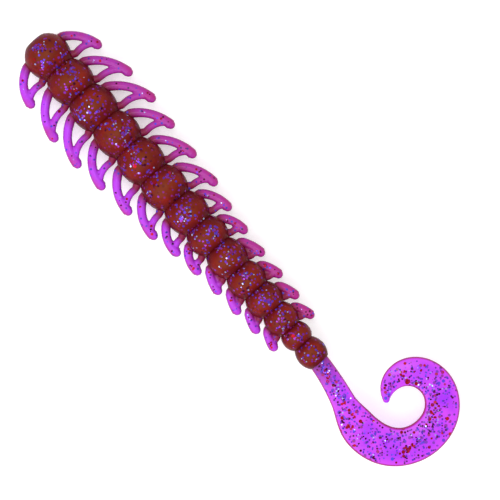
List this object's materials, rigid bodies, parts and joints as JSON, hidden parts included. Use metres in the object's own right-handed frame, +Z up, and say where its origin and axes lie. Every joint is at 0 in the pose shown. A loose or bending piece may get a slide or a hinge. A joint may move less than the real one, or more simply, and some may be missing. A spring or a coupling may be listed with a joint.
{
  "type": "soft plastic worm",
  "caption": "Soft plastic fishing worm with a flat nose, a ringed body, pairs of swept-back looped legs and a flat ribbon tail that curls to one side.",
  "frame": {"origin": "centre of the flat nose face, where a jig hook's head seats", "axes": "+X from the nose to the tail, +Y the side that the tail curls to, +Z up out of the plane of the legs and tail"},
  "size_m": [0.1001, 0.0252, 0.0082],
  "materials": {
    "ring_plastic": "translucent brown-red soft plastic with glitter, satin",
    "core_plastic": "dark brown-red soft plastic, satin",
    "leg_plastic": "translucent violet soft plastic with glitter, satin",
    "tail_plastic": "translucent violet soft plastic with glitter, satin",
    "glitter": "fine metallic flake: blue-violet, maroon, red and pale silver"
  },
  "bodies": {
    "bead_01": {"bead_01": "ring_plastic"},
    "bead_02": {"bead_02": "ring_plastic"},
    "bead_03": {"bead_03": "ring_plastic"},
    "bead_04": {"bead_04": "ring_plastic"},
    "bead_05": {"bead_05": "ring_plastic"},
    "bead_06": {"bead_06": "ring_plastic"},
    "bead_07": {"bead_07": "ring_plastic"},
    "bead_08": {"bead_08": "ring_plastic"},
    "bead_09": {"bead_09": "ring_plastic"},
    "bead_10": {"bead_10": "ring_plastic"},
    "bead_11": {"bead_11": "ring_plastic"},
    "bead_12": {"bead_12": "ring_plastic"},
    "bead_13": {"bead_13": "ring_plastic"},
    "bead_14": {"bead_14": "ring_plastic"},
    "neck_01": {"neck_01": "core_plastic"},
    "neck_02": {"neck_02": "core_plastic"},
    "neck_03": {"neck_03": "core_plastic"},
    "neck_04": {"neck_04": "core_plastic"},
    "neck_05": {"neck_05": "core_plastic"},
    "neck_06": {"neck_06": "core_plastic"},
    "neck_07": {"neck_07": "core_plastic"},
    "neck_08": {"neck_08": "core_plastic"},
    "neck_09": {"neck_09": "core_plastic"},
    "neck_10": {"neck_10": "core_plastic"},
    "neck_11": {"neck_11": "core_plastic"},
    "neck_12": {"neck_12": "core_plastic"},
    "neck_13": {"neck_13": "core_plastic"},
    "leg_left_01": {"leg_left_01": "leg_plastic"},
    "leg_left_02": {"leg_left_02": "leg_plastic"},
    "leg_left_03": {"leg_left_03": "leg_plastic"},
    "leg_left_04": {"leg_left_04": "leg_plastic"},
    "leg_left_05": {"leg_left_05": "leg_plastic"},
    "leg_left_06": {"leg_left_06": "leg_plastic"},
    "leg_left_07": {"leg_left_07": "leg_plastic"},
    "leg_left_08": {"leg_left_08": "leg_plastic"},
    "leg_left_09": {"leg_left_09": "leg_plastic"},
    "leg_left_10": {"leg_left_10": "leg_plastic"},
    "leg_left_11": {"leg_left_11": "leg_plastic"},
    "leg_left_12": {"leg_left_12": "leg_plastic"},
    "leg_right_01": {"leg_right_01": "leg_plastic"},
    "leg_right_02": {"leg_right_02": "leg_plastic"},
    "leg_right_03": {"leg_right_03": "leg_plastic"},
    "leg_right_04": {"leg_right_04": "leg_plastic"},
    "leg_right_05": {"leg_right_05": "leg_plastic"},
    "leg_right_06": {"leg_right_06": "leg_plastic"},
    "leg_right_07": {"leg_right_07": "leg_plastic"},
    "leg_right_08": {"leg_right_08": "leg_plastic"},
    "leg_right_09": {"leg_right_09": "leg_plastic"},
    "leg_right_10": {"leg_right_10": "leg_plastic"},
    "leg_right_11": {"leg_right_11": "leg_plastic"},
    "leg_right_12": {"leg_right_12": "leg_plastic"},
    "tail_stem": {"tail_stem": "tail_plastic"},
    "tail_blade_1": {"tail_blade_1": "tail_plastic"},
    "tail_blade_2": {"tail_blade_2": "tail_plastic"},
    "tail_blade_3": {"tail_blade_3": "tail_plastic"},
    "tail_blade_4": {"tail_blade_4": "tail_plastic"},
    "tail_blade_5": {"tail_blade_5": "tail_plastic"},
    "tail_blade_6": {"tail_blade_6": "tail_plastic"},
    "tail_blade_7": {"tail_blade_7": "tail_plastic"},
    "tail_blade_8": {"tail_blade_8": "tail_plastic"}
  },
  "joints": [
    {"name": "groove_01_up_down", "type": "hinge", "parent": "bead_01", "child": "neck_01", "pos_m": [0.00657, 0, 0], "axis": [0.002, -1, 0.002], "range_deg": [-10, 10], "stiffness_Nm_per_rad": 0.002},
    {"name": "groove_01_sideways", "type": "hinge", "parent": "neck_01", "child": "bead_02", "pos_m": [0.00657, 0, 0], "axis": [0.002, 0.002, 1], "range_deg": [-4, 4], "stiffness_Nm_per_rad": 0.002},
    {"name": "groove_07_up_down", "type": "hinge", "parent": "bead_07", "child": "neck_07", "pos_m": [0.04297, 0, 0], "axis": [0.002, -1, 0.002], "range_deg": [-10, 10], "stiffness_Nm_per_rad": 0.001464},
    {"name": "groove_07_sideways", "type": "hinge", "parent": "neck_07", "child": "bead_08", "pos_m": [0.04297, 0, 0], "axis": [0.002, 0.002, 1], "range_deg": [-4, 4], "stiffness_Nm_per_rad": 0.001464},
    {"name": "groove_13_up_down", "type": "hinge", "parent": "bead_13", "child": "neck_13", "pos_m": [0.07056, 0, 0], "axis": [0.002, -1, 0.002], "range_deg": [-10, 10], "stiffness_Nm_per_rad": 0.000403},
    {"name": "groove_13_sideways", "type": "hinge", "parent": "neck_13", "child": "bead_14", "pos_m": [0.07056, 0, 0], "axis": [0.002, 0.002, 1], "range_deg": [-4, 4], "stiffness_Nm_per_rad": 0.000403},
    {"name": "leg_left_01_flap", "type": "hinge", "parent": "bead_01", "child": "leg_left_01", "pos_m": [0, 0.00315, 0], "axis": [1, 0, 0], "range_deg": [-25, 25], "stiffness_Nm_per_rad": 0.00003},
    {"name": "leg_left_05_flap", "type": "hinge", "parent": "bead_05", "child": "leg_left_05", "pos_m": [0.02486, 0.00312, 0], "axis": [1, 0, 0], "range_deg": [-25, 25], "stiffness_Nm_per_rad": 0.00003},
    {"name": "leg_left_09_flap", "type": "hinge", "parent": "bead_09", "child": "leg_left_09", "pos_m": [0.04799, 0.00274, 0], "axis": [1, 0, 0], "range_deg": [-25, 25], "stiffness_Nm_per_rad": 0.00003},
    {"name": "leg_right_01_flap", "type": "hinge", "parent": "bead_01", "child": "leg_right_01", "pos_m": [0, -0.00315, 0], "axis": [-1, 0, 0], "range_deg": [-25, 25], "stiffness_Nm_per_rad": 0.00003},
    {"name": "leg_right_06_flap", "type": "hinge", "parent": "bead_06", "child": "leg_right_06", "pos_m": [0.03119, -0.00309, 0], "axis": [-1, 0, 0], "range_deg": [-25, 25], "stiffness_Nm_per_rad": 0.00003},
    {"name": "leg_right_12_flap", "type": "hinge", "parent": "bead_12", "child": "leg_right_12", "pos_m": [0.06268, -0.00236, 0], "axis": [-1, 0, 0], "range_deg": [-25, 25], "stiffness_Nm_per_rad": 0.00003},
    {"name": "tail_root_flex", "type": "hinge", "parent": "bead_14", "child": "tail_stem", "pos_m": [0.0738, 0, 0], "axis": [-0.0698, -0.9976, 0], "range_deg": [-20, 20], "stiffness_Nm_per_rad": 0.000036},
    {"name": "tail_flex_1", "type": "hinge", "parent": "tail_stem", "child": "tail_blade_1", "pos_m": [0.08284, -0.00151, 0], "axis": [-0.2588, -0.9659, 0], "range_deg": [-20, 20], "stiffness_Nm_per_rad": 0.0000434},
    {"name": "tail_flex_2", "type": "hinge", "parent": "tail_blade_1", "child": "tail_blade_2", "pos_m": [0.08734, -0.00239, 0], "axis": [-0.1219, -0.9925, 0], "range_deg": [-20, 20], "stiffness_Nm_per_rad": 0.0000651},
    {"name": "tail_flex_3", "type": "hinge", "parent": "tail_blade_2", "child": "tail_blade_3", "pos_m": [0.09209, -0.00176, 0], "axis": [0.3746, -0.9272, 0], "range_deg": [-20, 20], "stiffness_Nm_per_rad": 0.00007},
    {"name": "tail_flex_4", "type": "hinge", "parent": "tail_blade_3", "child": "tail_blade_4", "pos_m": [0.0961, 0.00198, 0], "axis": [0.8988, -0.4384, 0], "range_deg": [-20, 20], "stiffness_Nm_per_rad": 0.0000658},
    {"name": "tail_flex_5", "type": "hinge", "parent": "tail_blade_4", "child": "tail_blade_5", "pos_m": [0.09654, 0.00818, 0], "axis": [0.9511, 0.309, 0], "range_deg": [-20, 20], "stiffness_Nm_per_rad": 0.000063},
    {"name": "tail_flex_6", "type": "hinge", "parent": "tail_blade_5", "child": "tail_blade_6", "pos_m": [0.09334, 0.01199, 0], "axis": [0.4695, 0.8829, 0], "range_deg": [-20, 20], "stiffness_Nm_per_rad": 0.0000616},
    {"name": "tail_flex_7", "type": "hinge", "parent": "tail_blade_6", "child": "tail_blade_7", "pos_m": [0.08842, 0.01212, 0], "axis": [-0.4226, 0.9063, 0], "range_deg": [-20, 20], "stiffness_Nm_per_rad": 0.0000574},
    {"name": "tail_flex_8", "type": "hinge", "parent": "tail_blade_7", "child": "tail_blade_8", "pos_m": [0.08577, 0.0086, 0], "axis": [-0.9877, 0.1564, 0], "range_deg": [-20, 20], "stiffness_Nm_per_rad": 0.0000462},
    {"name": "groove_02_up_down", "type": "hinge", "parent": "bead_02", "child": "neck_02", "pos_m": [0.01246, 0, 0], "axis": [0.002, -1, 0.002], "range_deg": [-10, 10], "stiffness_Nm_per_rad": 0.002},
    {"name": "groove_02_sideways", "type": "hinge", "parent": "neck_02", "child": "bead_03", "pos_m": [0.01246, 0, 0], "axis": [0.002, 0.002, 1], "range_deg": [-4, 4], "stiffness_Nm_per_rad": 0.002},
    {"name": "groove_03_up_down", "type": "hinge", "parent": "bead_03", "child": "neck_03", "pos_m": [0.01866, 0, 0], "axis": [0.002, -1, 0.002], "range_deg": [-10, 10], "stiffness_Nm_per_rad": 0.00196},
    {"name": "groove_03_sideways", "type": "hinge", "parent": "neck_03", "child": "bead_04", "pos_m": [0.01866, 0, 0], "axis": [0.002, 0.002, 1], "range_deg": [-4, 4], "stiffness_Nm_per_rad": 0.00196},
    {"name": "groove_04_up_down", "type": "hinge", "parent": "bead_04", "child": "neck_04", "pos_m": [0.02486, 0, 0], "axis": [0.002, -1, 0.002], "range_deg": [-10, 10], "stiffness_Nm_per_rad": 0.001921},
    {"name": "groove_04_sideways", "type": "hinge", "parent": "neck_04", "child": "bead_05", "pos_m": [0.02486, 0, 0], "axis": [0.002, 0.002, 1], "range_deg": [-4, 4], "stiffness_Nm_per_rad": 0.001921},
    {"name": "groove_05_up_down", "type": "hinge", "parent": "bead_05", "child": "neck_05", "pos_m": [0.03119, 0, 0], "axis": [0.002, -1, 0.002], "range_deg": [-10, 10], "stiffness_Nm_per_rad": 0.001883},
    {"name": "groove_05_sideways", "type": "hinge", "parent": "neck_05", "child": "bead_06", "pos_m": [0.03119, 0, 0], "axis": [0.002, 0.002, 1], "range_deg": [-4, 4], "stiffness_Nm_per_rad": 0.001883},
    {"name": "groove_06_up_down", "type": "hinge", "parent": "bead_06", "child": "neck_06", "pos_m": [0.03726, 0, 0], "axis": [0.002, -1, 0.002], "range_deg": [-10, 10], "stiffness_Nm_per_rad": 0.001699},
    {"name": "groove_06_sideways", "type": "hinge", "parent": "neck_06", "child": "bead_07", "pos_m": [0.03726, 0, 0], "axis": [0.002, 0.002, 1], "range_deg": [-4, 4], "stiffness_Nm_per_rad": 0.001699},
    {"name": "groove_08_up_down", "type": "hinge", "parent": "bead_08", "child": "neck_08", "pos_m": [0.04799, 0, 0], "axis": [0.002, -1, 0.002], "range_deg": [-10, 10], "stiffness_Nm_per_rad": 0.001255},
    {"name": "groove_08_sideways", "type": "hinge", "parent": "neck_08", "child": "bead_09", "pos_m": [0.04799, 0, 0], "axis": [0.002, 0.002, 1], "range_deg": [-4, 4], "stiffness_Nm_per_rad": 0.001255},
    {"name": "groove_09_up_down", "type": "hinge", "parent": "bead_09", "child": "neck_09", "pos_m": [0.05332, 0, 0], "axis": [0.002, -1, 0.002], "range_deg": [-10, 10], "stiffness_Nm_per_rad": 0.001094},
    {"name": "groove_09_sideways", "type": "hinge", "parent": "neck_09", "child": "bead_10", "pos_m": [0.05332, 0, 0], "axis": [0.002, 0.002, 1], "range_deg": [-4, 4], "stiffness_Nm_per_rad": 0.001094},
    {"name": "groove_10_up_down", "type": "hinge", "parent": "bead_10", "child": "neck_10", "pos_m": [0.05809, 0, 0], "axis": [0.002, -1, 0.002], "range_deg": [-10, 10], "stiffness_Nm_per_rad": 0.000972},
    {"name": "groove_10_sideways", "type": "hinge", "parent": "neck_10", "child": "bead_11", "pos_m": [0.05809, 0, 0], "axis": [0.002, 0.002, 1], "range_deg": [-4, 4], "stiffness_Nm_per_rad": 0.000972},
    {"name": "groove_11_up_down", "type": "hinge", "parent": "bead_11", "child": "neck_11", "pos_m": [0.06268, 0, 0], "axis": [0.002, -1, 0.002], "range_deg": [-10, 10], "stiffness_Nm_per_rad": 0.000759},
    {"name": "groove_11_sideways", "type": "hinge", "parent": "neck_11", "child": "bead_12", "pos_m": [0.06268, 0, 0], "axis": [0.002, 0.002, 1], "range_deg": [-4, 4], "stiffness_Nm_per_rad": 0.000759},
    {"name": "groove_12_up_down", "type": "hinge", "parent": "bead_12", "child": "neck_12", "pos_m": [0.06708, 0, 0], "axis": [0.002, -1, 0.002], "range_deg": [-10, 10], "stiffness_Nm_per_rad": 0.000508},
    {"name": "groove_12_sideways", "type": "hinge", "parent": "neck_12", "child": "bead_13", "pos_m": [0.06708, 0, 0], "axis": [0.002, 0.002, 1], "range_deg": [-4, 4], "stiffness_Nm_per_rad": 0.000508},
    {"name": "leg_left_02_flap", "type": "hinge", "parent": "bead_02", "child": "leg_left_02", "pos_m": [0.00657, 0.00315, 0], "axis": [1, 0, 0], "range_deg": [-25, 25], "stiffness_Nm_per_rad": 0.00003},
    {"name": "leg_left_03_flap", "type": "hinge", "parent": "bead_03", "child": "leg_left_03", "pos_m": [0.01246, 0.00315, 0], "axis": [1, 0, 0], "range_deg": [-25, 25], "stiffness_Nm_per_rad": 0.00003},
    {"name": "leg_left_04_flap", "type": "hinge", "parent": "bead_04", "child": "leg_left_04", "pos_m": [0.01866, 0.00312, 0], "axis": [1, 0, 0], "range_deg": [-25, 25], "stiffness_Nm_per_rad": 0.00003},
    {"name": "leg_left_06_flap", "type": "hinge", "parent": "bead_06", "child": "leg_left_06", "pos_m": [0.03119, 0.00309, 0], "axis": [1, 0, 0], "range_deg": [-25, 25], "stiffness_Nm_per_rad": 0.00003},
    {"name": "leg_left_07_flap", "type": "hinge", "parent": "bead_07", "child": "leg_left_07", "pos_m": [0.03726, 0.00296, 0], "axis": [1, 0, 0], "range_deg": [-25, 25], "stiffness_Nm_per_rad": 0.00003},
    {"name": "leg_left_08_flap", "type": "hinge", "parent": "bead_08", "child": "leg_left_08", "pos_m": [0.04297, 0.00287, 0], "axis": [1, 0, 0], "range_deg": [-25, 25], "stiffness_Nm_per_rad": 0.00003},
    {"name": "leg_left_10_flap", "type": "hinge", "parent": "bead_10", "child": "leg_left_10", "pos_m": [0.05332, 0.00268, 0], "axis": [1, 0, 0], "range_deg": [-25, 25], "stiffness_Nm_per_rad": 0.00003},
    {"name": "leg_left_11_flap", "type": "hinge", "parent": "bead_11", "child": "leg_left_11", "pos_m": [0.05809, 0.00258, 0], "axis": [1, 0, 0], "range_deg": [-25, 25], "stiffness_Nm_per_rad": 0.00003},
    {"name": "leg_left_12_flap", "type": "hinge", "parent": "bead_12", "child": "leg_left_12", "pos_m": [0.06268, 0.00236, 0], "axis": [1, 0, 0], "range_deg": [-25, 25], "stiffness_Nm_per_rad": 0.00003},
    {"name": "leg_right_02_flap", "type": "hinge", "parent": "bead_02", "child": "leg_right_02", "pos_m": [0.00657, -0.00315, 0], "axis": [-1, 0, 0], "range_deg": [-25, 25], "stiffness_Nm_per_rad": 0.00003},
    {"name": "leg_right_03_flap", "type": "hinge", "parent": "bead_03", "child": "leg_right_03", "pos_m": [0.01246, -0.00315, 0], "axis": [-1, 0, 0], "range_deg": [-25, 25], "stiffness_Nm_per_rad": 0.00003},
    {"name": "leg_right_04_flap", "type": "hinge", "parent": "bead_04", "child": "leg_right_04", "pos_m": [0.01866, -0.00312, 0], "axis": [-1, 0, 0], "range_deg": [-25, 25], "stiffness_Nm_per_rad": 0.00003},
    {"name": "leg_right_05_flap", "type": "hinge", "parent": "bead_05", "child": "leg_right_05", "pos_m": [0.02486, -0.00312, 0], "axis": [-1, 0, 0], "range_deg": [-25, 25], "stiffness_Nm_per_rad": 0.00003},
    {"name": "leg_right_07_flap", "type": "hinge", "parent": "bead_07", "child": "leg_right_07", "pos_m": [0.03726, -0.00296, 0], "axis": [-1, 0, 0], "range_deg": [-25, 25], "stiffness_Nm_per_rad": 0.00003},
    {"name": "leg_right_08_flap", "type": "hinge", "parent": "bead_08", "child": "leg_right_08", "pos_m": [0.04297, -0.00287, 0], "axis": [-1, 0, 0], "range_deg": [-25, 25], "stiffness_Nm_per_rad": 0.00003},
    {"name": "leg_right_09_flap", "type": "hinge", "parent": "bead_09", "child": "leg_right_09", "pos_m": [0.04799, -0.00274, 0], "axis": [-1, 0, 0], "range_deg": [-25, 25], "stiffness_Nm_per_rad": 0.00003},
    {"name": "leg_right_10_flap", "type": "hinge", "parent": "bead_10", "child": "leg_right_10", "pos_m": [0.05332, -0.00268, 0], "axis": [-1, 0, 0], "range_deg": [-25, 25], "stiffness_Nm_per_rad": 0.00003},
    {"name": "leg_right_11_flap", "type": "hinge", "parent": "bead_11", "child": "leg_right_11", "pos_m": [0.05809, -0.00258, 0], "axis": [-1, 0, 0], "range_deg": [-25, 25], "stiffness_Nm_per_rad": 0.00003}
  ]
}
